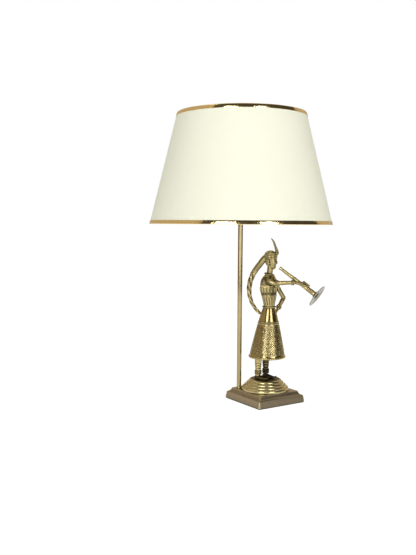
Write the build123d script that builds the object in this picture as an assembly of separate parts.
from build123d import *
from functools import cache
from math import atan2, cos, hypot, radians, sin
import os

# Brass table lamp: a square plinth carries a post with a harp-mounted shade and, beside the post,
# a stepped pedestal with a figurine of a musician who holds a horn.
# Millimetres, +Z up. The origin is the post's axis on the surface that the lamp stands on,
# and +X runs along the plinth's diagonal from the post to the figurine.

# Whole lamp
LAMP_HEIGHT = 558.8
SHADE_HEIGHT = 212.8
SHADE_BOTTOM_DIA = 355.6
SHADE_TOP_DIA = 250.0

# Clearances
SLIP = 0.05
PART_GAP = 0.1
LOOSE = 0.3

# Felt pad and plinth
FELT_THICKNESS = 2.0
FELT_MARGIN = 1.5
PLINTH_SIDE = 112.0
PLINTH_SIDE_HEIGHT = 12.5
PLINTH_DRAFT = 2.2
PLINTH_LEDGE = 0.8
PLINTH_COVE_WIDTH = 6.5
PLINTH_COVE_HEIGHT = 6.7
PLINTH_COVE_BULGE = 0.6
PLINTH_RIM = 0.8
PLINTH_WALL = 3.4
PLINTH_ROOF = 3.5

# Cord bushing in the plinth's rear side
BUSHING_BORE = 6.8
BUSHING_BARREL_DIA = 9.4
BUSHING_FLANGE_DIA = 12.0
BUSHING_FLANGE = 1.4
BUSHING_INNER_LIP = 1.2

# Pedestal
PEDESTAL_RADIUS = 46.3
PEDESTAL_TOP_RADIUS = 28.0
PEDESTAL_FORWARD = 0.8
PEDESTAL_HEIGHT = 21.5
PEDESTAL_STEPS = 4
PEDESTAL_LIP = 3.0
PEDESTAL_WALL = 3.0
PEDESTAL_ROOF = 4.0

# Post and what holds it
POST_DIA = 9.5
POST_BORE = 6.5
SEAT_RING_DIA = 11.0
SEAT_RING_HEIGHT = 2.4
SEAT_GAP = 0.25
POST_WASHER_DIA = 13.6
POST_WASHER_THICKNESS = 1.2
POST_NUT_FLATS = 11.5
POST_NUT_THICKNESS = 4.5
POST_END_BELOW_NUT = 2.0
COLLAR_DIA = 11.5
COLLAR_LENGTH = 11.0
COLLAR_ABOVE_EDGE = 13.0
COLLAR_BEVEL = 0.8

# Harp saddle and harp
SADDLE_THICKNESS = 1.8
SADDLE_WIDTH = 11.0
SADDLE_FLAT = 16.0
SADDLE_RISE = 14.0
SADDLE_BEND = 5.0
HARP_FOOT_SPAN = 58.0
TONGUE_WIDTH = 5.4
TONGUE_HEIGHT = 11.0
HARP_WIRE_DIA = 3.6
HARP_WIDTH = 104.0
HARP_FOOT_DIA = 6.4
HARP_FOOT_LENGTH = 16.0
HARP_WIRE_SEAT = 1.0
HARP_LEG = 38.0
HARP_SHOULDER = 34.0
HARP_CROWN_DROP = 42.0
HARP_CROWN_FLAT = 44.0
HARP_BENDS = (16.0, 30.0, 28.0)
SLEEVE_WALL = 0.8
SLEEVE_LENGTH = 15.0

# Stud on the harp, spider and finial
STUD_DIA = 6.2
STUD_BODY_DIA = 10.4
STUD_BODY_WALL = 1.2
STUD_FLANGE_DIA = 16.0
STUD_FLANGE = 1.5
STUD_REACH = 9.0
SPIDER_DROP = 22.0
SPIDER_HUB_DIA = 24.0
SPIDER_HUB = 2.0
SPIDER_WIRE_DIA = 3.0
SPIDER_ARMS = 3
SPIDER_TURN = 30.0
SPIDER_RISE_RUN = 26.0
SPIDER_BEND = 14.0
FINIAL_HEIGHT = 19.5
FINIAL_BASE_DIA = 15.0
FINIAL_NECK_DIA = 9.0
FINIAL_BALL_DIA = 13.0
FINIAL_TIP_DIA = 3.0
FINIAL_BASE_SHARE = 0.16
FINIAL_NECK_SHARE = 0.38
FINIAL_BALL_SHARE = 0.62
FINIAL_SHOULDER_SHARE = 0.92

# Shade
COVER_THICKNESS = 1.0
TRIM_THICKNESS = 0.4
TRIM_HEIGHT = 6.4
RING_WIRE_DIA = 3.2

# Lampholder
CAP_HUB_DIA = 15.0
CAP_HUB_HEIGHT = 8.0
CAP_HEIGHT = 21.0
CAP_WALL = 1.0
HOLDER_SHELL_DIA = 32.4
HOLDER_SHELL_WALL = 0.8
HOLDER_HEIGHT = 58.0
HOLDER_LAP = 4.0
HOLDER_BEAD = 0.9
LINER_THICKNESS = 0.7
BODY_FOOT_DIA = 20.0
BODY_FOOT_HEIGHT = 7.0
BODY_HEIGHT = 24.0
SCREW_SHELL_WALL = 0.5
SCREW_SHELL_HEIGHT = 23.0
CONTACT_DIA = 9.0
CONTACT_HEIGHT = 1.4
KEY_SHAFT_DIA = 3.2
KEY_SHAFT_DEPTH = 8.0
KEY_HEIGHT = 24.0
KEY_DIA = 9.6
KEY_LENGTH = 13.0
KEY_FLUTES = 10
KEY_FLUTE_DIA = 1.6
KEY_STANDOFF = 3.0

# Bulb
BULB_BASE_DIA = 26.2
BULB_BASE_HEIGHT = 22.0
BULB_BASE_STEP = 2.0
BULB_BASE_ROUND = 1.0
BULB_TIP_DIA = 9.0
BULB_TIP_HEIGHT = 5.0
BULB_GLASS_DIA = 60.0
BULB_LENGTH = 107.0
BULB_NECK_DIA = 25.0
BULB_NECK_FLARE = 0.25
BULB_GLASS_WALL = 1.0

# Figurine: heights are above the pedestal's top, X runs forward from the skirt's axis at its hem
FIGURE_FORWARD = 4.0
BODY_TURN = -40.0
HEM_HEIGHT = 45.0
HEM_RADIUS = 35.3
HEM_ROPE_DIA = 5.2
SKIRT_LENGTH = 97.5
SKIRT_FLARE = 0.82
SKIRT_LEAN = 2.8
SKIRT_WALL = 2.5
SKIRT_ROOF = 3.5
SKIRT_CIRCLES = 6
SKIRT_BANDS = (0.70, 0.67)
SKIRT_BAND_DIA = 1.6
WAIST_RADIUS = 10.8
TORSO_LENGTH = 64.5
BELT_HEIGHT = 3.6
BELT_WALL = 0.9
BELT_FLARE = 0.7
COLLAR_RING_RADIUS = 8.4
COLLAR_RING_DIA = 3.6
COLLAR_RING_TILT = 12.0
NECK_RADIUS = 6.1
NECK_LENGTH = 9.0
HEAD_HEIGHT = 32.0
TURBAN_RISE = 20.0
TURBAN_HEIGHT = 16.5
EAR_LENGTH = 6.4
EAR_WIDTH = 4.0
EAR_DEPTH = 1.8
EARRING_DIA = 3.4

# Torso, head and turban cross sections: share of the height, forward shift, two half widths
TORSO_SECTIONS = (
    (0.00, 2.8, 10.8, 10.7),
    (0.05, 2.8, 11.2, 10.7),
    (0.30, 2.6, 16.4, 11.3),
    (0.54, 1.0, 18.5, 12.5),
    (0.71, 1.2, 19.0, 12.0),
    (0.85, 1.5, 17.0, 9.8),
    (0.945, 2.0, 11.5, 7.8),
    (1.00, 2.5, 7.4, 6.6),
)
HEAD_SECTIONS = (
    (0.00, 9.5, 4.4, 4.2),
    (0.10, 8.0, 6.8, 6.3),
    (0.25, 6.3, 9.3, 8.0),
    (0.47, 5.3, 10.9, 9.2),
    (0.69, 4.9, 11.3, 9.6),
    (0.875, 4.6, 10.0, 8.8),
    (1.00, 4.4, 6.5, 6.0),
)
TURBAN_SECTIONS = (
    (0.00, 4.6, 12.9, 11.6),
    (0.22, 4.6, 13.4, 12.2),
    (0.55, 4.6, 12.4, 11.4),
    (0.83, 4.6, 8.8, 8.2),
    (1.00, 4.6, 3.5, 3.3),
)

# Paths in the figurine's upright middle plane: forward, height over the waist or the brow, radius
BRAID_STATIONS = (
    (-1.0, 99.0, 6.0),
    (-7.2, 94.0, 6.0),
    (-15.5, 83.6, 5.8),
    (-24.8, 71.0, 5.4),
    (-32.8, 55.0, 5.0),
    (-36.7, 35.6, 4.6),
    (-35.5, 19.9, 4.0),
    (-29.8, 4.2, 3.4),
    (-19.5, -9.5, 2.9),
    (-12.5, -15.5, 2.6),
)
PLUME_STATIONS = (
    (12.5, 8.5, 3.2),
    (16.6, 11.2, 4.1),
    (16.3, 15.0, 3.2),
    (14.6, 20.5, 2.5),
    (12.0, 28.0, 2.1),
    (9.0, 35.0, 1.6),
    (5.0, 40.0, 0.7),
)
NOSE_STATIONS = (
    (15.4, 18.0, 0.8),
    (16.4, 14.2, 1.2),
    (16.9, 10.8, 1.7),
)

# Arms: places are forward, sideways and height over the shoulders
SHOULDER_SHARE = 0.76
SHOULDER_HALF_SPAN = 14.0
SHOULDER_RADIUS = 7.2
SLEEVE_RADIUS = 7.8
SLEEVE_SHARE = 0.35
CUFF_RADIUS = 5.0
RIGHT_CUFF_SHARE = 0.96
RIGHT_ELBOW = (23.0, -15.5, -1.0)
RIGHT_WRIST = (54.0, -15.5, 0.8)
FOREARM_RADIUS = 3.9
WRIST_RADIUS = 3.4
LEFT_ELBOW = (28.3, 28.0, -34.0)
LEFT_CUFF_SHARE = 0.45
UPPER_ARM_RADIUS = 4.6
LEFT_HAND_OVER_WAIST = -11.0
LEFT_HAND_TURN = 36.0
HAND_HALF_LENGTH = 7.0
HAND_HALF_WIDTH = 4.6
HAND_HALF_DEPTH = 2.8
BANGLE_DIA = 2.0
BANGLE_START = 1.5
BANGLES = 3

# Horn: its mouth is in front of the lips, its bell points forward, down and to the near side
HORN_MOUTH_FORWARD = 22.6
HORN_MOUTH_OVER_CHIN = 3.0
HORN_LENGTH = 92.0
HORN_DROP_ANGLE = 34.2
HORN_TURN = -13.7
HORN_MOUTH_RADIUS = 3.2
HORN_NECK_RADIUS = 2.7
HORN_END_RADIUS = 5.0
HORN_WALL = 1.2
HORN_RINGS = (0.40, 0.76, 0.82, 0.88)
HORN_RING_DIA = 2.2
BELL_RADIUS = 23.0
BELL_THICKNESS = 1.2
BELL_DEPTH = 7.0
BELL_DISH = 1.6
BELL_THROAT = 3.6
BELL_HUB_WALL = 1.0
GRIP_SHARE = 0.64
FINGERS = 4
FINGER_DIA = 4.4
FINGERTIP_DIA = 4.6
FINGER_PITCH = 4.1
FINGER_PRESS = 0.5
FINGER_WRAP = 215.0
FINGER_START = 25.0
THUMB_WRAP = 120.0

# Legs and shoes
RIGHT_LEG = (-16.3, -8.0)
LEFT_LEG = (-3.3, 8.0)
KNEE_HEIGHT = 36.0
KNEE_RADIUS = 6.8
ANKLE_RADIUS = 4.4
ANKLE_HEIGHT = 3.0
ANKLET_BOTTOM = 9.0
ANKLET_RING_DIA = 3.6
ANKLET_RINGS = 3
ANKLET_PITCH = 3.06
SHOE_TURN = -25.0
SHOE_SECTIONS = (
    (-7.5, 3.2, 3.4, 3.2),
    (-4.0, 3.4, 5.2, 4.8),
    (3.0, 3.2, 5.8, 5.0),
    (11.0, 2.6, 5.0, 3.8),
    (18.0, 2.6, 3.2, 2.6),
    (22.5, 4.2, 1.5, 1.3),
    (24.5, 6.4, 0.7, 0.6),
)
FOOT_SCREW_DIA = 4.0
FOOT_SCREW_REACH = 16.0
FOOT_SCREW_HEAD_DIA = 7.0
FOOT_SCREW_HEAD = 2.6

# Levels and places worked out from the sizes above
PLINTH_BOTTOM = FELT_THICKNESS
PLINTH_SHOULDER = PLINTH_BOTTOM + PLINTH_SIDE_HEIGHT
PLINTH_TOP = PLINTH_SHOULDER + PLINTH_COVE_HEIGHT + PLINTH_RIM
ROOF_UNDERSIDE = PLINTH_TOP - PLINTH_ROOF
PLINTH_X = PEDESTAL_RADIUS + SEAT_RING_DIA / 2 + SEAT_GAP - PEDESTAL_FORWARD
PEDESTAL_TOP = PLINTH_TOP + PEDESTAL_HEIGHT
SHADE_BOTTOM = LAMP_HEIGHT - SHADE_HEIGHT
SADDLE_Z = SHADE_BOTTOM + COLLAR_ABOVE_EDGE
SADDLE_SHOULDER = SADDLE_Z + SADDLE_RISE
HOLDER_Z = SADDLE_Z + SADDLE_THICKNESS
HUB_Z = LAMP_HEIGHT - SPIDER_DROP - SPIDER_HUB
HARP_CROWN_Z = HUB_Z - STUD_FLANGE - HARP_WIRE_DIA / 2 - STUD_BODY_WALL
CONTACT_Z = HOLDER_Z + CAP_HUB_HEIGHT + BODY_HEIGHT
BULB_Z = CONTACT_Z + CONTACT_HEIGHT + PART_GAP
SHADE_SLOPE = (SHADE_BOTTOM_DIA - SHADE_TOP_DIA) / 2 / SHADE_HEIGHT
WAIST_HEIGHT = HEM_HEIGHT + SKIRT_LENGTH
NECK_HEIGHT = WAIST_HEIGHT + TORSO_LENGTH
CHIN_HEIGHT = NECK_HEIGHT + NECK_LENGTH
BROW_HEIGHT = CHIN_HEIGHT + TURBAN_RISE
SHOULDER_HEIGHT = WAIST_HEIGHT + SHOULDER_SHARE * TORSO_LENGTH
UP = Vector(0, 0, 1)
FORWARD = Vector(1, 0, 0)
BODY_LEFT = Vector(-sin(radians(BODY_TURN)), cos(radians(BODY_TURN)), 0)
FIGURE_PLACE = Pos(PLINTH_X + FIGURE_FORWARD, 0, PEDESTAL_TOP)
PLINTH_PLACE = Pos(PLINTH_X, 0, 0) * Rot(0, 0, 45)
MIN3 = (Align.CENTER, Align.CENTER, Align.MIN)
MAX3 = (Align.CENTER, Align.CENTER, Align.MAX)


def turned(*edges):
    """Solid of revolution about Z from a closed outline drawn as (radius, height)."""
    return revolve(Plane.XZ * make_face(edges), Axis.Z)


def turned_points(*points):
    """Solid of revolution about Z from the corners (radius, height) of a straight-sided outline."""
    return turned(Polyline(*points, close=True))


def tube(outer_dia, inner_dia, bottom, height):
    """Upright tube on the Z axis."""
    outer = Cylinder(outer_dia / 2, height, align=MIN3)
    inner = Cylinder(inner_dia / 2, height, align=MIN3)
    return Pos(0, 0, bottom) * (outer - inner)


def limb(points, radii, side):
    """Round limb: circles square to the path through the points, lofted into one solid."""
    path = [Vector(point) for point in points]
    last = len(path) - 1
    sections = []
    for index, (point, radius) in enumerate(zip(path, radii)):
        direction = path[min(index + 1, last)] - path[max(index - 1, 0)]
        plane = Plane(origin=point, x_dir=side, z_dir=direction)
        sections.append(plane * Circle(radius))
    return loft(sections)


def stack(sections, bottom, height, x_dir):
    """Loft through level ellipses given as share of the height, forward shift and half widths."""
    faces = []
    for share, forward, half_x, half_y in sections:
        plane = Plane(origin=(forward, 0, bottom + share * height), x_dir=x_dir, z_dir=UP)
        faces.append(plane * Ellipse(half_x, half_y))
    return loft(faces)


# Base

def square_moulding(outline):
    """Square block whose four sides follow one outline, mitred at the corners."""
    along_y = extrude(Plane.XZ * outline, PLINTH_SIDE, both=True)
    return along_y & (Rot(0, 0, 90) * along_y)


def plinth_outline():
    half = PLINTH_SIDE / 2
    shoulder = half - PLINTH_DRAFT
    cove_foot = shoulder - PLINTH_LEDGE
    rim = cove_foot - PLINTH_COVE_WIDTH
    cove_top = PLINTH_SHOULDER + PLINTH_COVE_HEIGHT
    cove_middle = (cove_foot - PLINTH_COVE_BULGE * PLINTH_COVE_WIDTH,
                   cove_top - PLINTH_COVE_BULGE * PLINTH_COVE_HEIGHT)
    right = [
        Line((0, PLINTH_BOTTOM), (half, PLINTH_BOTTOM)),
        Line((half, PLINTH_BOTTOM), (shoulder, PLINTH_SHOULDER)),
        Line((shoulder, PLINTH_SHOULDER), (cove_foot, PLINTH_SHOULDER)),
        ThreePointArc((cove_foot, PLINTH_SHOULDER), cove_middle, (rim, cove_top)),
        Line((rim, cove_top), (rim, PLINTH_TOP)),
        Line((rim, PLINTH_TOP), (0, PLINTH_TOP)),
    ]
    left = [mirror(edge, about=Plane.YZ) for edge in right]
    return make_face(right + left)


def plinth_hollow():
    half = PLINTH_SIDE / 2
    foot = half - PLINTH_WALL
    bend = foot - PLINTH_DRAFT
    top = half - PLINTH_DRAFT - PLINTH_LEDGE - PLINTH_COVE_WIDTH - PLINTH_WALL + PLINTH_RIM
    bend_z = PLINTH_SHOULDER - PLINTH_WALL
    roof_z = ROOF_UNDERSIDE - PLINTH_RIM
    return Polygon((-foot, PLINTH_BOTTOM), (foot, PLINTH_BOTTOM), (bend, bend_z), (top, roof_z),
                   (top, ROOF_UNDERSIDE), (-top, ROOF_UNDERSIDE), (-top, roof_z), (-bend, bend_z),
                   align=None)


def bushing_plane():
    """Plane on the plinth's rear-left side, square to the drafted face, with +Z pointing outward."""
    lean = atan2(PLINTH_DRAFT, PLINTH_SIDE_HEIGHT)
    half = PLINTH_SIDE / 2 - PLINTH_DRAFT / 2
    middle = PLINTH_BOTTOM + PLINTH_SIDE_HEIGHT / 2
    local = Plane(origin=(0, half, middle), x_dir=(1, 0, 0), z_dir=(0, cos(lean), sin(lean)))
    return PLINTH_PLACE * local.location


def foot_screw_places():
    """Screw axes under the two feet, in the lamp's frame."""
    start = PLINTH_X + FIGURE_FORWARD
    return [(start + x, y) for x, y in (RIGHT_LEG, LEFT_LEG)]


def foot_screw_holes(clearance):
    """Shanks of the foot screws, grown by a clearance, through everything that they hold."""
    length = PEDESTAL_TOP + FOOT_SCREW_REACH + clearance - ROOF_UNDERSIDE
    shank = Cylinder(FOOT_SCREW_DIA / 2 + clearance, length, align=MIN3)
    return [Pos(x, y, ROOF_UNDERSIDE) * shank for x, y in foot_screw_places()]


def plinth():
    body = square_moulding(plinth_outline()) - square_moulding(plinth_hollow())
    body = PLINTH_PLACE * body
    bushing_hole = Cylinder(BUSHING_BARREL_DIA / 2 + PART_GAP, 4 * PLINTH_WALL)
    post_hole = Pos(0, 0, PLINTH_TOP) * Cylinder(POST_DIA / 2 + PART_GAP, 3 * PLINTH_ROOF)
    return body - bushing_plane() * bushing_hole - post_hole - foot_screw_holes(LOOSE)


def felt_pad():
    side = PLINTH_SIDE - 2 * FELT_MARGIN
    return PLINTH_PLACE * Box(side, side, FELT_THICKNESS, align=MIN3)


def cord_bushing():
    """Flanged sleeve that snaps into the wall, with rounded mouth edges for a cord."""
    bore = BUSHING_BORE / 2
    barrel = BUSHING_BARREL_DIA / 2
    inner_end = -PLINTH_WALL - BUSHING_INNER_LIP
    body = turned_points((bore, inner_end), (barrel - PART_GAP, inner_end), (barrel, -PLINTH_WALL),
                         (barrel, 0), (BUSHING_FLANGE_DIA / 2, 0),
                         (BUSHING_FLANGE_DIA / 2, BUSHING_FLANGE), (bore, BUSHING_FLANGE))
    rims = body.edges().filter_by(GeomType.CIRCLE).group_by(Axis.Z)[-1]
    return bushing_plane() * fillet(rims, BUSHING_FLANGE / 3)


def pedestal():
    """Hollow disc with rounded rings that step down from its flat top to a plain lip."""
    step_r = (PEDESTAL_RADIUS - PEDESTAL_TOP_RADIUS) / PEDESTAL_STEPS
    step_z = (PEDESTAL_HEIGHT - PEDESTAL_LIP) / PEDESTAL_STEPS
    quarter = cos(radians(45))
    edges = [Line((0, PEDESTAL_HEIGHT), (PEDESTAL_TOP_RADIUS, PEDESTAL_HEIGHT))]
    for step in range(PEDESTAL_STEPS):
        r = PEDESTAL_TOP_RADIUS + step * step_r
        z = PEDESTAL_HEIGHT - step * step_z
        middle = (r + quarter * step_r, z - (1 - quarter) * step_z)
        edges.append(ThreePointArc((r, z), middle, (r + step_r, z - step_z)))
    inner = PEDESTAL_RADIUS - PEDESTAL_WALL
    roof = PEDESTAL_HEIGHT - PEDESTAL_ROOF
    edges.append(Polyline((PEDESTAL_RADIUS, PEDESTAL_LIP), (PEDESTAL_RADIUS, 0), (inner, 0),
                          (inner, PEDESTAL_LIP), (PEDESTAL_TOP_RADIUS, roof), (0, roof),
                          (0, PEDESTAL_HEIGHT)))
    return Pos(PLINTH_X + PEDESTAL_FORWARD, 0, PLINTH_TOP) * turned(*edges) - foot_screw_holes(LOOSE)


def foot_screws():
    """Two screws up through plinth and pedestal into the feet."""
    length = PEDESTAL_TOP + FOOT_SCREW_REACH - ROOF_UNDERSIDE
    shank = Cylinder(FOOT_SCREW_DIA / 2, length, align=MIN3)
    head = Cylinder(FOOT_SCREW_HEAD_DIA / 2, FOOT_SCREW_HEAD, align=MAX3)
    slot = Pos(0, 0, -FOOT_SCREW_HEAD) * Box(FOOT_SCREW_HEAD_DIA, FOOT_SCREW_HEAD / 3, FOOT_SCREW_HEAD)
    screw = shank + head - slot
    return [Pos(x, y, ROOF_UNDERSIDE) * screw for x, y in foot_screw_places()]


# Post

def post_tube():
    bottom = (ROOF_UNDERSIDE - POST_WASHER_THICKNESS - POST_NUT_THICKNESS - POST_END_BELOW_NUT)
    return tube(POST_DIA, POST_BORE, bottom, HOLDER_Z + CAP_HUB_HEIGHT - bottom)


def post_seat_ring():
    """Small flared ring where the post meets the plinth."""
    inner = POST_DIA / 2 + SLIP
    outer = SEAT_RING_DIA / 2
    top = SEAT_RING_HEIGHT
    ring = turned(Polyline((inner, top), (inner, 0), (outer, 0), (outer, top / 3)),
                  RadiusArc((outer, top / 3), (inner + PART_GAP, top), 2 * top),
                  Line((inner + PART_GAP, top), (inner, top)))
    return Pos(0, 0, PLINTH_TOP) * ring


def post_washer():
    top = ROOF_UNDERSIDE
    return tube(POST_WASHER_DIA, POST_DIA + 2 * SLIP, top - POST_WASHER_THICKNESS, POST_WASHER_THICKNESS)


def post_nut():
    bottom = ROOF_UNDERSIDE - POST_WASHER_THICKNESS - POST_NUT_THICKNESS
    profile = RegularPolygon(POST_NUT_FLATS / 2, 6, major_radius=False) - Circle(POST_DIA / 2 + SLIP)
    return Pos(0, 0, bottom) * extrude(profile, POST_NUT_THICKNESS)


def post_collar():
    """Sleeve nut near the top of the post that the harp saddle sits on."""
    bottom = SADDLE_Z - COLLAR_LENGTH
    sleeve = tube(COLLAR_DIA, POST_DIA + 2 * SLIP, bottom, SADDLE_Z - bottom)
    outer_rims = sleeve.edges().filter_by(lambda edge: abs(edge.radius - COLLAR_DIA / 2) < SLIP
                                          if edge.geom_type == GeomType.CIRCLE else False)
    return chamfer(outer_rims, COLLAR_BEVEL / 2)


# Harp

def harp_saddle():
    """Bent strip with an upright tongue at each end, bored for the post."""
    reach = HARP_FOOT_SPAN / 2
    mid = SADDLE_THICKNESS / 2
    top = SADDLE_RISE + TONGUE_HEIGHT
    half = [(SADDLE_FLAT, mid), (reach, SADDLE_RISE - SADDLE_BEND), (reach, top)]
    line = [(-x, z) for x, z in reversed(half)] + half
    strip = extrude(Plane.XZ * trace(FilletPolyline(*line, radius=SADDLE_BEND), SADDLE_THICKNESS),
                    SADDLE_WIDTH / 2, both=True)
    flank_width = (SADDLE_WIDTH - TONGUE_WIDTH) / 2
    flank = Box(4 * reach, flank_width, 2 * TONGUE_HEIGHT, align=MIN3)
    offset_y = TONGUE_WIDTH / 2 + flank_width / 2
    strip -= [Pos(0, side * offset_y, SADDLE_RISE) * flank for side in (-1, 1)]
    return Pos(0, 0, SADDLE_Z) * (strip - Cylinder(POST_DIA / 2 + PART_GAP, 4 * SADDLE_THICKNESS))


def harp_path():
    """Outline of the wire: up from one foot, round the bulb, over the crown, down to the other foot."""
    foot = HARP_FOOT_SPAN / 2
    wide = HARP_WIDTH / 2
    leg_top = SADDLE_SHOULDER + HARP_LEG
    half = [
        (foot, SADDLE_SHOULDER + HARP_FOOT_LENGTH - HARP_WIRE_SEAT),
        (foot, leg_top),
        (wide, leg_top + HARP_SHOULDER),
        (wide, HARP_CROWN_Z - HARP_CROWN_DROP),
        (HARP_CROWN_FLAT / 2, HARP_CROWN_Z),
    ]
    points = half + [(-x, z) for x, z in reversed(half)]
    radii = list(HARP_BENDS) + [HARP_BENDS[2]] * 2 + list(reversed(HARP_BENDS))
    return Plane.XZ * FilletPolyline(*points, radius=radii)


@cache
def harp():
    path = harp_path()
    wire = sweep(Plane(path @ 0, z_dir=path % 0) * Circle(HARP_WIRE_DIA / 2), path=path)
    foot = Cylinder(HARP_FOOT_DIA / 2, HARP_FOOT_LENGTH - LOOSE, align=MIN3)
    foot = fillet(foot.edges().group_by(Axis.Z)[-1], HARP_FOOT_DIA / 6)
    slot = Box(SADDLE_THICKNESS + 2 * PART_GAP, HARP_FOOT_DIA, 2 * (TONGUE_HEIGHT + PART_GAP))
    foot -= slot
    for side in (-1, 1):
        wire += Pos(side * HARP_FOOT_SPAN / 2, 0, SADDLE_SHOULDER + LOOSE) * foot
    return wire


def harp_sleeve(side):
    """Ferrule that slides down over a foot of the harp and locks it on its tongue."""
    inner = HARP_FOOT_DIA + 2 * PART_GAP
    sleeve = tube(inner + 2 * SLEEVE_WALL, inner, SADDLE_SHOULDER, SLEEVE_LENGTH)
    return Pos(side * HARP_FOOT_SPAN / 2, 0, 0) * sleeve


def harp_stud():
    """Fitting on the crown of the harp: a body round the wire, a flange for the hub, a threaded stud."""
    body_bottom = HARP_CROWN_Z - HARP_WIRE_DIA / 2 - STUD_BODY_WALL
    flange_bottom = HUB_Z - STUD_FLANGE
    stud_top = HUB_Z + SPIDER_HUB + STUD_REACH
    body = turned_points((0, body_bottom), (STUD_BODY_DIA / 2, body_bottom),
                         (STUD_BODY_DIA / 2, flange_bottom), (STUD_FLANGE_DIA / 2, flange_bottom),
                         (STUD_FLANGE_DIA / 2, HUB_Z), (STUD_DIA / 2, HUB_Z),
                         (STUD_DIA / 2, stud_top), (0, stud_top))
    return body - harp()


# Lampholder

def socket_cap():
    hub = CAP_HUB_DIA / 2
    shell = HOLDER_SHELL_DIA / 2
    rim = shell + PART_GAP + CAP_WALL
    inner = shell + PART_GAP
    bore = POST_DIA / 2 + PART_GAP
    seat = BODY_FOOT_DIA / 2 + LOOSE
    dome_top = CAP_HEIGHT - HOLDER_LAP
    cup = turned(Polyline((bore, 0), (hub, 0), (hub, CAP_HUB_HEIGHT / 2)),
                 RadiusArc((hub, CAP_HUB_HEIGHT / 2), (rim, dome_top), -CAP_HEIGHT),
                 Polyline((rim, dome_top), (rim, CAP_HEIGHT), (inner, CAP_HEIGHT), (inner, dome_top),
                          (seat, CAP_HUB_HEIGHT), (bore, CAP_HUB_HEIGHT), (bore, 0)))
    return Pos(0, 0, HOLDER_Z) * cup


def key_cut(radius):
    """Straight cut for the key's shaft through one side of the lampholder."""
    length = HOLDER_SHELL_DIA
    return Pos(0, 0, HOLDER_Z + KEY_HEIGHT) * Rot(90, 0, 0) * Cylinder(radius, length, align=MIN3)


def socket_shell():
    """Thin shell with a rolled bead below its open rim."""
    outer = HOLDER_SHELL_DIA / 2
    inner = outer - HOLDER_SHELL_WALL
    bottom = CAP_HEIGHT - HOLDER_LAP
    bead_z = HOLDER_HEIGHT - 4 * HOLDER_BEAD
    shell = turned(Polyline((inner, bottom), (outer, bottom), (outer, bead_z - HOLDER_BEAD)),
                   ThreePointArc((outer, bead_z - HOLDER_BEAD), (outer + HOLDER_BEAD, bead_z),
                                 (outer, bead_z + HOLDER_BEAD)),
                   Polyline((outer, bead_z + HOLDER_BEAD), (outer, HOLDER_HEIGHT),
                            (inner, HOLDER_HEIGHT), (inner, bottom)))
    return Pos(0, 0, HOLDER_Z) * shell - key_cut(KEY_SHAFT_DIA)


def socket_liner():
    outer = HOLDER_SHELL_DIA - 2 * HOLDER_SHELL_WALL - 2 * PART_GAP
    bottom = HOLDER_Z + CAP_HEIGHT - HOLDER_LAP
    height = HOLDER_Z + HOLDER_HEIGHT - bottom - HOLDER_BEAD
    return tube(outer, outer - 2 * LINER_THICKNESS, bottom, height) - key_cut(KEY_SHAFT_DIA)


def socket_body():
    """Insulating switch body: a foot in the cap, a barrel in the liner, a blind hole for the key."""
    liner_bore = HOLDER_SHELL_DIA - 2 * (HOLDER_SHELL_WALL + PART_GAP + LINER_THICKNESS)
    barrel = liner_bore / 2 - LOOSE
    foot = BODY_FOOT_DIA / 2
    body = turned_points((0, 0), (foot, 0), (foot, BODY_FOOT_HEIGHT), (barrel, BODY_FOOT_HEIGHT),
                         (barrel, BODY_HEIGHT), (0, BODY_HEIGHT))
    hole = Pos(0, -barrel, KEY_HEIGHT - CAP_HUB_HEIGHT) * Rot(90, 0, 0)
    body -= hole * Cylinder(KEY_SHAFT_DIA / 2 + SLIP, 2 * (KEY_SHAFT_DEPTH + SLIP))
    return Pos(0, 0, HOLDER_Z + CAP_HUB_HEIGHT) * body


def screw_shell():
    inner = BULB_BASE_DIA + 4 * SLIP
    return tube(inner + 2 * SCREW_SHELL_WALL, inner, CONTACT_Z, SCREW_SHELL_HEIGHT)


def centre_contact():
    button = Cylinder(CONTACT_DIA / 2, CONTACT_HEIGHT, align=MIN3)
    button = fillet(button.edges().group_by(Axis.Z)[-1], CONTACT_HEIGHT / 2)
    return Pos(0, 0, CONTACT_Z) * button


def switch_key():
    """Fluted turn key on a plain shaft that runs in the switch body."""
    barrel = (HOLDER_SHELL_DIA - 2 * (HOLDER_SHELL_WALL + PART_GAP + LINER_THICKNESS)) / 2 - LOOSE
    start = barrel - KEY_SHAFT_DEPTH
    knob = HOLDER_SHELL_DIA / 2 + KEY_STANDOFF
    shaft = Pos(0, 0, start) * Cylinder(KEY_SHAFT_DIA / 2, knob - start, align=MIN3)
    grip = Cylinder(KEY_DIA / 2, KEY_LENGTH, align=MIN3)
    grip = fillet(grip.edges().group_by(Axis.Z)[-1], KEY_DIA / 8)
    flute = Cylinder(KEY_FLUTE_DIA / 2, KEY_LENGTH, align=MIN3)
    grip -= [loc * flute for loc in PolarLocations(KEY_DIA / 2, KEY_FLUTES)]
    return Pos(0, 0, HOLDER_Z + KEY_HEIGHT) * Rot(90, 0, 0) * (shaft + Pos(0, 0, knob) * grip)


# Bulb

def bulb_base():
    """Screw base with its insulating cone and tip, open above for the glass neck."""
    tip = BULB_TIP_DIA / 2
    outer = BULB_BASE_DIA / 2
    cup = BULB_NECK_DIA / 2 + PART_GAP
    top = BULB_TIP_HEIGHT + BULB_BASE_HEIGHT
    body = turned_points((0, 0), (tip, 0), (outer - BULB_BASE_STEP, BULB_TIP_HEIGHT),
                         (outer, BULB_TIP_HEIGHT + BULB_BASE_ROUND), (outer, top), (cup, top),
                         (cup, top / 2), (0, top / 2))
    return Pos(0, 0, BULB_Z) * body


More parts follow.
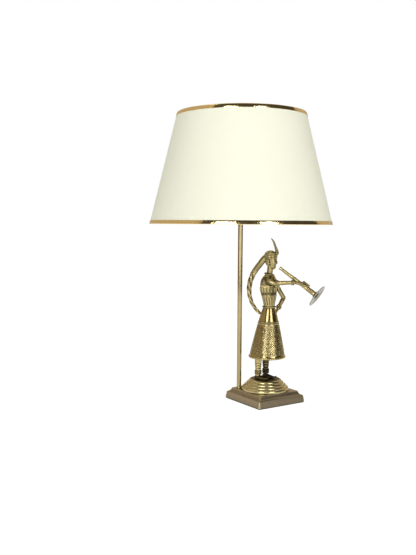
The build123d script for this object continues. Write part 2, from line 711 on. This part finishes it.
def bulb_wall(inset):
    """One face of the glass, a wall's inset from the outside: its neck, its flare and its dome."""
    neck = BULB_NECK_DIA / 2 - inset
    ball = BULB_GLASS_DIA / 2 - inset
    seat = (BULB_TIP_HEIGHT + BULB_BASE_HEIGHT) / 2
    neck_top = BULB_TIP_HEIGHT + BULB_BASE_HEIGHT
    centre = BULB_LENGTH - BULB_GLASS_DIA / 2
    eighth = cos(radians(45)) * ball
    return [
        Line((neck, seat), (neck, neck_top)),
        Spline((neck, neck_top), (ball, centre), tangents=((BULB_NECK_FLARE, 1), (0, 1))),
        ThreePointArc((ball, centre), (eighth, centre + eighth), (0, centre + ball)),
    ]


def bulb_glass():
    """Pear-shaped hollow envelope whose open neck sits in the screw base."""
    outside = bulb_wall(0)
    inside = bulb_wall(BULB_GLASS_WALL)
    crown = Line(outside[-1] @ 1, inside[-1] @ 1)
    mouth = Line(inside[0] @ 0, outside[0] @ 0)
    return Pos(0, 0, BULB_Z) * turned(*outside, crown, *inside, mouth)


# Shade

def on_slant(inset, z):
    """Point at a height, a level distance inside the shade's outer face."""
    return (SHADE_BOTTOM_DIA / 2 - (z - SHADE_BOTTOM) * SHADE_SLOPE - inset, z)


def ring_inset():
    """Level distance from the shade's outer face to the middle of an edge wire."""
    lean = hypot(1, SHADE_SLOPE)
    return TRIM_THICKNESS + COVER_THICKNESS + 3 * PART_GAP + RING_WIRE_DIA / 2 * lean


def edge_level(end, inset):
    """Height a little inside one edge of the shade: end is -1 at the bottom, 1 at the top."""
    edge = SHADE_BOTTOM if end < 0 else LAMP_HEIGHT
    return edge - end * inset


def shade_cover():
    outer = TRIM_THICKNESS + PART_GAP
    inner = outer + COVER_THICKNESS
    low = edge_level(-1, TRIM_THICKNESS + PART_GAP)
    high = edge_level(1, TRIM_THICKNESS + PART_GAP)
    return turned_points(on_slant(outer, low), on_slant(outer, high), on_slant(inner, high),
                         on_slant(inner, low))


def edge_ring(end):
    """Wire ring inside one edge of the shade."""
    radius, z = on_slant(ring_inset(), edge_level(end, TRIM_THICKNESS + PART_GAP + RING_WIRE_DIA / 2))
    return Pos(0, 0, z) * Torus(radius, RING_WIRE_DIA / 2)


def edge_trim(end):
    """Foil tape folded round one edge of the shade and its wire."""
    back = ring_inset() + RING_WIRE_DIA / 2 * hypot(1, SHADE_SLOPE) + PART_GAP
    edge = edge_level(end, 0)
    floor = edge_level(end, TRIM_THICKNESS)
    lip = edge_level(end, TRIM_HEIGHT)
    return turned_points(on_slant(0, edge), on_slant(0, lip), on_slant(TRIM_THICKNESS, lip),
                         on_slant(TRIM_THICKNESS, floor), on_slant(back, floor), on_slant(back, lip),
                         on_slant(back + TRIM_THICKNESS, lip), on_slant(back + TRIM_THICKNESS, edge))


def spider_arms(grown):
    """Bent wires from the hub out and up to the top ring, grown by a clearance."""
    ring_r, ring_z = on_slant(ring_inset(), edge_level(1, TRIM_THICKNESS + PART_GAP + RING_WIRE_DIA / 2))
    level = HUB_Z + SPIDER_HUB - SPIDER_WIRE_DIA / 2 - LOOSE
    start = SPIDER_HUB_DIA / 2 - SPIDER_WIRE_DIA / 2
    line = FilletPolyline((start, level), (ring_r - SPIDER_RISE_RUN, level), (ring_r, ring_z),
                          radius=SPIDER_BEND)
    path = Plane.XZ * line
    arm = sweep(Plane(path @ 0, z_dir=path % 0) * Circle(SPIDER_WIRE_DIA / 2 + grown), path=path)
    return [Rot(0, 0, turn * 360 / SPIDER_ARMS + SPIDER_TURN) * arm for turn in range(SPIDER_ARMS)]


def shade_top_trim():
    return edge_trim(1) - spider_arms(PART_GAP)


def spider():
    """Hub washer with three bent arms that carry the shade's top ring."""
    hub = tube(SPIDER_HUB_DIA, STUD_DIA + 2 * LOOSE, HUB_Z, SPIDER_HUB)
    return hub + spider_arms(0) - edge_ring(1)


def finial():
    """Turned nut: a flat base, a hollow neck, a ball and a small tip."""
    base = FINIAL_BASE_DIA / 2
    neck = FINIAL_NECK_DIA / 2
    ball = FINIAL_BALL_DIA / 2
    tip = FINIAL_TIP_DIA / 2
    base_top = FINIAL_HEIGHT * FINIAL_BASE_SHARE
    neck_top = FINIAL_HEIGHT * FINIAL_NECK_SHARE
    ball_z = FINIAL_HEIGHT * FINIAL_BALL_SHARE
    ball_end = FINIAL_HEIGHT * FINIAL_SHOULDER_SHARE
    hole = STUD_DIA / 2 + SLIP
    hole_top = STUD_REACH + LOOSE
    body = turned(Polyline((0, hole_top), (hole, hole_top), (hole, 0), (base, 0), (base, base_top)),
                  RadiusArc((base, base_top), (neck, neck_top), FINIAL_NECK_DIA),
                  ThreePointArc((neck, neck_top), (ball, ball_z), (tip, ball_end)),
                  Polyline((tip, ball_end), (tip, FINIAL_HEIGHT), (0, FINIAL_HEIGHT), (0, hole_top)))
    return Pos(0, 0, HUB_Z + SPIDER_HUB + SLIP) * body


# Figurine: built on its own axis, then set on the pedestal

def skirt_radius(share):
    """Outer radius at a share of the skirt's length from the hem to the waist."""
    return WAIST_RADIUS + (HEM_RADIUS - WAIST_RADIUS) * (1 - share) ** SKIRT_FLARE


@cache
def skirt_loft(inset, bottom_share, top_share):
    """Leaning cone of level circles, a little inside the skirt's outer face."""
    faces = []
    for step in range(SKIRT_CIRCLES):
        share = bottom_share + (top_share - bottom_share) * step / (SKIRT_CIRCLES - 1)
        place = Pos(SKIRT_LEAN * share, 0, HEM_HEIGHT + SKIRT_LENGTH * share)
        faces.append(place * Circle(skirt_radius(share) - inset))
    return loft(faces)


@cache
def skirt_hollow():
    return skirt_loft(SKIRT_WALL, 0, 1 - SKIRT_ROOF / SKIRT_LENGTH)


def hem_rope():
    return Pos(0, 0, HEM_HEIGHT) * Torus(HEM_RADIUS - SKIRT_WALL / 2, HEM_ROPE_DIA / 2)


def skirt():
    """Hollow cone, closed at the waist, with two raised bands round its middle."""
    body = skirt_loft(0, 0, 1)
    for share in SKIRT_BANDS:
        place = Pos(SKIRT_LEAN * share, 0, HEM_HEIGHT + SKIRT_LENGTH * share)
        body += place * Torus(skirt_radius(share), SKIRT_BAND_DIA / 2)
    return body - skirt_hollow() - hem_rope()


@cache
def torso():
    return stack(TORSO_SECTIONS, WAIST_HEIGHT, TORSO_LENGTH, BODY_LEFT)


@cache
def belt():
    """Rounded band over the seam between torso and skirt."""
    low = -BELT_HEIGHT / 2
    high = BELT_HEIGHT / 2
    bore = skirt_radius(1 + low / SKIRT_LENGTH) + PART_GAP
    rim = bore + BELT_FLARE + BELT_WALL / 2
    band = turned(Polyline((rim, high), (bore + BELT_FLARE, high), (bore, low), (rim, low)),
                  ThreePointArc((rim, low), (rim + BELT_WALL / 2, 0), (rim, high)))
    return Pos(SKIRT_LEAN, 0, WAIST_HEIGHT) * band


@cache
def head():
    """Neck and head with plain ears and nose."""
    skull = stack(HEAD_SECTIONS, CHIN_HEIGHT, HEAD_HEIGHT, FORWARD)
    neck_bottom = (TORSO_SECTIONS[-1][1], 0, NECK_HEIGHT)
    neck_top = (HEAD_SECTIONS[3][1], 0, CHIN_HEIGHT + HEAD_HEIGHT / 4)
    skull += limb([neck_bottom, neck_top], [NECK_RADIUS, NECK_RADIUS], FORWARD)
    nose_points = [(x, 0, CHIN_HEIGHT + z) for x, z, _ in NOSE_STATIONS]
    skull += limb(nose_points, [r for _, _, r in NOSE_STATIONS], Vector(0, 1, 0))
    skull += Pos(*nose_points[-1]) * Sphere(NOSE_STATIONS[-1][2])
    for side in (-1, 1):
        skull += ear(side)
    return skull - torso()


def ear_place(side):
    section = HEAD_SECTIONS[3]
    x = section[1] - section[2] / 4
    return Vector(x, side * (section[3] - EAR_DEPTH / 2), CHIN_HEIGHT + section[0] * HEAD_HEIGHT)


def ear(side):
    plane = Plane(origin=ear_place(side), x_dir=UP, z_dir=(0, side, 0))
    flap = extrude(plane * Ellipse(EAR_LENGTH / 2, EAR_WIDTH / 2), EAR_DEPTH)
    return fillet(flap.edges(), EAR_DEPTH / 3)


def earrings():
    """A bead under each ear."""
    beads = []
    for side in (-1, 1):
        centre = ear_place(side) + Vector(0, side * EAR_DEPTH / 2, -EAR_LENGTH / 2 - EARRING_DIA / 3)
        beads.append(Pos(*centre) * Sphere(EARRING_DIA / 2) - head())
    return beads


def collar():
    """Rolled collar round the foot of the neck, lower in front."""
    place = Pos(TORSO_SECTIONS[-1][1], 0, NECK_HEIGHT - COLLAR_RING_DIA / 4)
    ring = place * Rot(0, COLLAR_RING_TILT, 0) * Torus(COLLAR_RING_RADIUS, COLLAR_RING_DIA / 2)
    return ring - torso() - head()


@cache
def turban_block():
    return stack(TURBAN_SECTIONS, BROW_HEIGHT, TURBAN_HEIGHT, FORWARD)


def turban():
    return turban_block() - head()


def plume():
    """Curved feather on the front of the turban, thick at its bulb and thin at its tip."""
    points = [(x, 0, BROW_HEIGHT + z) for x, z, _ in PLUME_STATIONS]
    return limb(points, [r for _, _, r in PLUME_STATIONS], Vector(0, 1, 0)) - turban_block() - head()


def braid():
    """Long braid that swings out behind the back and tapers down to the skirt."""
    points = [(x, 0, WAIST_HEIGHT + z) for x, z, _ in BRAID_STATIONS]
    rope = limb(points, [r for _, _, r in BRAID_STATIONS], Vector(0, 1, 0))
    return rope - turban_block() - head() - skirt_loft(0, 0, 1)


def horn_plane():
    """Plane at the horn's mouth: +Z runs down the horn, +X points to its near side."""
    drop = radians(HORN_DROP_ANGLE)
    turn = radians(HORN_TURN)
    axis = Vector(cos(drop) * cos(turn), cos(drop) * sin(turn), -sin(drop))
    mouth = (HORN_MOUTH_FORWARD, 0, CHIN_HEIGHT + HORN_MOUTH_OVER_CHIN)
    return Plane(origin=mouth, x_dir=(0, -1, 0), z_dir=axis)


def horn_radius(share):
    return HORN_NECK_RADIUS + (HORN_END_RADIUS - HORN_NECK_RADIUS) * share


def horn_outline():
    """Slightly conical horn with a cupped mouth, solid and without its rings."""
    length = HORN_LENGTH - BELL_THICKNESS - BELL_DISH
    lip = HORN_MOUTH_RADIUS
    return turned_points((0, 0), (lip, 0), (lip, lip / 2), (horn_radius(0), 2 * lip),
                         (horn_radius(1), length), (0, length))


@cache
def horn_block():
    """The horn's plain outline in its place, for cutting what touches it."""
    return horn_plane().location * horn_outline()


def horn_tube():
    """Bored horn with turned rings."""
    body = horn_outline()
    for share in HORN_RINGS:
        body += Pos(0, 0, share * HORN_LENGTH) * Torus(horn_radius(share), HORN_RING_DIA / 2)
    mouth = HORN_MOUTH_RADIUS - HORN_WALL
    bore = turned_points((0, 0), (mouth, 0), (horn_radius(0) - HORN_WALL, 2 * HORN_MOUTH_RADIUS),
                         (horn_radius(1) - HORN_WALL, HORN_LENGTH), (0, HORN_LENGTH))
    return horn_plane().location * (body - bore)


def horn_bell():
    """Thin dished disc on a short flared hub that slips over the tube's end."""
    bore = HORN_END_RADIUS + SLIP
    hub = bore + BELL_HUB_WALL
    back = HORN_LENGTH - BELL_DEPTH
    rim_back = HORN_LENGTH - BELL_THICKNESS
    disc_back = rim_back - BELL_DISH
    disc_front = disc_back + BELL_THICKNESS
    throat_z = disc_back - BELL_THROAT
    throat_r = hub + BELL_THROAT
    bell = turned(Polyline((bore, back), (hub, back), (hub, throat_z)),
                  RadiusArc((hub, throat_z), (throat_r, disc_back), BELL_THROAT),
                  Polyline((throat_r, disc_back), (BELL_RADIUS, rim_back), (BELL_RADIUS, HORN_LENGTH),
                           (throat_r, disc_front), (bore, disc_front), (bore, back)))
    return horn_plane().location * bell - horn_block()


def shoulder(side):
    """Middle of a shoulder joint: side is -1 on the right, 1 on the left."""
    middle = Vector(TORSO_SECTIONS[4][1], 0, SHOULDER_HEIGHT)
    return middle + BODY_LEFT * (side * SHOULDER_HALF_SPAN)


def over_shoulders(place):
    return Vector(place[0], place[1], SHOULDER_HEIGHT + place[2])


def upper_arm(side, elbow, cuff_share, elbow_radius):
    """Rounded shoulder, a sleeve down to its cuff, and the bare arm to the elbow."""
    top = shoulder(side)
    cuff = top + (elbow - top) * cuff_share
    arm = Pos(*top) * Sphere(SHOULDER_RADIUS)
    full = top + (cuff - top) * SLEEVE_SHARE
    arm += limb([top, full, cuff], [SHOULDER_RADIUS, SLEEVE_RADIUS, CUFF_RADIUS], UP)
    arm += limb([top, elbow], [elbow_radius, elbow_radius], UP)
    arm += Pos(*elbow) * Sphere(elbow_radius)
    return arm


def grip_orbit():
    """Distance from the horn's axis to the middle of a finger that presses on it."""
    return horn_radius(GRIP_SHARE) + FINGER_DIA / 2 - FINGER_PRESS


def finger(level, start, wrap):
    """Round finger bent about the horn's axis, with a rounded tip at each end."""
    orbit = grip_orbit()
    bent = Pos(0, 0, level) * Rot(0, 0, start) * Torus(orbit, FINGER_DIA / 2, major_angle=wrap)
    for angle in (start, start + wrap):
        turn = radians(angle)
        bent += Pos(orbit * cos(turn), orbit * sin(turn), level) * Sphere(FINGERTIP_DIA / 2)
    return bent


def right_hand():
    """Fist round the horn: a palm on the near side, fingers over the top, a thumb below."""
    orbit = grip_orbit()
    grip = GRIP_SHARE * HORN_LENGTH
    first = grip - (FINGERS - 1) / 2 * FINGER_PITCH
    last = grip + (FINGERS - 1) / 2 * FINGER_PITCH
    fist = limb([(orbit, 0, first - HAND_HALF_DEPTH), (orbit + HAND_HALF_DEPTH / 3, 0, grip),
                 (orbit, 0, last + HAND_HALF_DEPTH)],
                [HAND_HALF_DEPTH, HAND_HALF_WIDTH, HAND_HALF_DEPTH], FORWARD)
    for index in range(FINGERS):
        fist += finger(first + index * FINGER_PITCH, FINGER_START - FINGER_WRAP, FINGER_WRAP)
    fist += finger(first - FINGER_PITCH / 2, -FINGER_START, THUMB_WRAP)
    return horn_plane().location * fist


def right_arm():
    """Arm stretched forward, its fist round the horn."""
    elbow = over_shoulders(RIGHT_ELBOW)
    wrist = over_shoulders(RIGHT_WRIST)
    palm = (horn_plane().location * Pos(grip_orbit(), 0, GRIP_SHARE * HORN_LENGTH)).position
    arm = upper_arm(-1, elbow, RIGHT_CUFF_SHARE, FOREARM_RADIUS)
    arm += right_forearm()
    arm += Pos(*wrist) * Sphere(WRIST_RADIUS)
    arm += limb([wrist, palm], [WRIST_RADIUS, HAND_HALF_WIDTH], UP)
    arm += right_hand()
    return arm - torso() - horn_block()


def left_palm():
    """Middle of the left hand, laid on the skirt just below the waist."""
    height = WAIST_HEIGHT + LEFT_HAND_OVER_WAIST
    share = (height - HEM_HEIGHT) / SKIRT_LENGTH
    reach = skirt_radius(share) + HAND_HALF_DEPTH / 2
    turn = radians(LEFT_HAND_TURN)
    return Vector(SKIRT_LEAN * share + reach * cos(turn), reach * sin(turn), height)


def left_arm():
    """Arm bent at the elbow, its hand on the hip."""
    elbow = over_shoulders(LEFT_ELBOW)
    palm = left_palm()
    wrist = left_wrist()
    arm = upper_arm(1, elbow, LEFT_CUFF_SHARE, UPPER_ARM_RADIUS)
    arm += left_forearm()
    arm += Pos(*wrist) * Sphere(WRIST_RADIUS)
    arm += limb([wrist, palm], [WRIST_RADIUS, HAND_HALF_WIDTH], UP)
    arm += Pos(*palm) * Sphere(HAND_HALF_WIDTH)
    return arm - torso() - skirt_loft(0, 0, 1) - belt()


def left_wrist():
    palm = left_palm()
    elbow = over_shoulders(LEFT_ELBOW)
    return palm + (elbow - palm) * (HAND_HALF_LENGTH / (elbow - palm).length)


def right_forearm():
    return limb([over_shoulders(RIGHT_ELBOW), over_shoulders(RIGHT_WRIST)],
                [FOREARM_RADIUS, WRIST_RADIUS], UP)


def left_forearm():
    return limb([over_shoulders(LEFT_ELBOW), left_wrist()], [UPPER_ARM_RADIUS, WRIST_RADIUS], UP)


def bangle_stack(wrist, elbow, elbow_radius):
    """Rings side by side on a tapering forearm, from the wrist towards the elbow."""
    plane = Plane(origin=wrist, x_dir=UP, z_dir=elbow - wrist)
    length = BANGLES * BANGLE_DIA
    taper = (elbow_radius - WRIST_RADIUS) / (elbow - wrist).length
    bore = WRIST_RADIUS + taper * (length + BANGLE_START) + PART_GAP
    outline = [Line((bore, length), (bore, 0)), Line((bore, 0), (bore + BANGLE_DIA / 2, 0))]
    for index in range(BANGLES):
        low = (bore + BANGLE_DIA / 2, index * BANGLE_DIA)
        high = (bore + BANGLE_DIA / 2, (index + 1) * BANGLE_DIA)
        outline.append(ThreePointArc(low, (bore + BANGLE_DIA, (index + 0.5) * BANGLE_DIA), high))
    outline.append(Line((bore + BANGLE_DIA / 2, length), (bore, length)))
    return plane.location * Pos(0, 0, BANGLE_START) * turned(*outline)


def bangles():
    """A stack of rings on each wrist."""
    right = bangle_stack(over_shoulders(RIGHT_WRIST), over_shoulders(RIGHT_ELBOW), FOREARM_RADIUS)
    left = bangle_stack(left_wrist(), over_shoulders(LEFT_ELBOW), UPPER_ARM_RADIUS)
    return [right, left]


@cache
def leg(place):
    """Tapering leg from the shoe up to the inside of the skirt."""
    x, y = place
    top = HEM_HEIGHT + SKIRT_LENGTH
    points = [(x, y, ANKLE_HEIGHT), (x, y, KNEE_HEIGHT), (x, y, top)]
    lower = limb(points[:2], [ANKLE_RADIUS, KNEE_RADIUS], FORWARD)
    upper = limb(points[1:], [KNEE_RADIUS, KNEE_RADIUS], FORWARD)
    below_hem = Pos(x, y, 0) * Cylinder(2 * KNEE_RADIUS, HEM_HEIGHT, align=MIN3)
    room = skirt_hollow() + below_hem
    return (lower + upper) & room


def screws_in_figure():
    """Foot screws in the figurine's own frame, for cutting their holes."""
    return [FIGURE_PLACE.inverse() * hole for hole in foot_screw_holes(SLIP)]


def anklet(place):
    """Rings of little bells round an ankle."""
    x, y = place
    radius = ANKLE_RADIUS + ANKLET_RING_DIA / 3
    rings = Part()
    for index in range(ANKLET_RINGS):
        height = ANKLET_BOTTOM + ANKLET_RING_DIA / 2 + ANKLET_PITCH * index
        rings += Pos(x, y, height) * Torus(radius, ANKLET_RING_DIA / 2)
    return rings - leg(place)


def shoe(place):
    """Pointed slipper with a flat sole and an upturned toe."""
    faces = []
    for forward, height, half_width, half_height in SHOE_SECTIONS:
        plane = Plane(origin=(forward, 0, height), x_dir=(0, 1, 0), z_dir=(1, 0, 0))
        faces.append(plane * Ellipse(half_width, half_height))
    below = Box(PEDESTAL_RADIUS, PEDESTAL_RADIUS, PEDESTAL_RADIUS, align=MAX3)
    slipper = Pos(place[0], place[1], 0) * Rot(0, 0, SHOE_TURN) * (loft(faces) - below)
    return slipper - leg(place)


def on_pedestal(*solids):
    return [FIGURE_PLACE * solid for solid in solids]


def build():
    screw_room = screws_in_figure()
    nodes = {
        "felt_pad": [felt_pad()],
        "plinth": [plinth()],
        "cord_bushing": [cord_bushing()],
        "pedestal": [pedestal()],
        "foot_screws": foot_screws(),
        "post_tube": [post_tube()],
        "post_seat_ring": [post_seat_ring()],
        "post_washer": [post_washer()],
        "post_nut": [post_nut()],
        "post_collar": [post_collar()],
        "harp_saddle": [harp_saddle()],
        "harp": [harp()],
        "harp_sleeve_left": [harp_sleeve(-1)],
        "harp_sleeve_right": [harp_sleeve(1)],
        "harp_stud": [harp_stud()],
        "socket_cap": [socket_cap()],
        "socket_shell": [socket_shell()],
        "socket_liner": [socket_liner()],
        "socket_body": [socket_body()],
        "screw_shell": [screw_shell()],
        "centre_contact": [centre_contact()],
        "switch_key": [switch_key()],
        "bulb_base": [bulb_base()],
        "bulb_glass": [bulb_glass()],
        "shade_cover": [shade_cover()],
        "shade_top_ring": [edge_ring(1)],
        "shade_bottom_ring": [edge_ring(-1)],
        "shade_top_trim": [shade_top_trim()],
        "shade_bottom_trim": [edge_trim(-1)],
        "spider": [spider()],
        "finial": [finial()],
        "skirt": on_pedestal(skirt()),
        "skirt_hem": on_pedestal(hem_rope()),
        "torso": on_pedestal(torso()),
        "belt": on_pedestal(belt()),
        "collar": on_pedestal(collar()),
        "head": on_pedestal(head()),
        "earrings": on_pedestal(*earrings()),
        "turban": on_pedestal(turban()),
        "plume": on_pedestal(plume()),
        "braid": on_pedestal(braid()),
        "right_arm": on_pedestal(right_arm()),
        "left_arm": on_pedestal(left_arm()),
        "bangles": on_pedestal(*bangles()),
        "horn_tube": on_pedestal(horn_tube()),
        "horn_bell": on_pedestal(horn_bell()),
        "right_leg": on_pedestal(leg(RIGHT_LEG) - screw_room),
        "left_leg": on_pedestal(leg(LEFT_LEG) - screw_room),
        "anklets": on_pedestal(anklet(RIGHT_LEG), anklet(LEFT_LEG)),
        "right_shoe": on_pedestal(shoe(RIGHT_LEG) - screw_room),
        "left_shoe": on_pedestal(shoe(LEFT_LEG) - screw_room),
    }
    return nodes


def main():
    os.makedirs("parts", exist_ok=True)
    for name, solids in build().items():
        pieces = [piece for solid in solids for piece in solid.solids()]
        shape = pieces[0] if len(pieces) == 1 else Compound(pieces)
        export_step(shape, f"parts/{name}.step")


main()
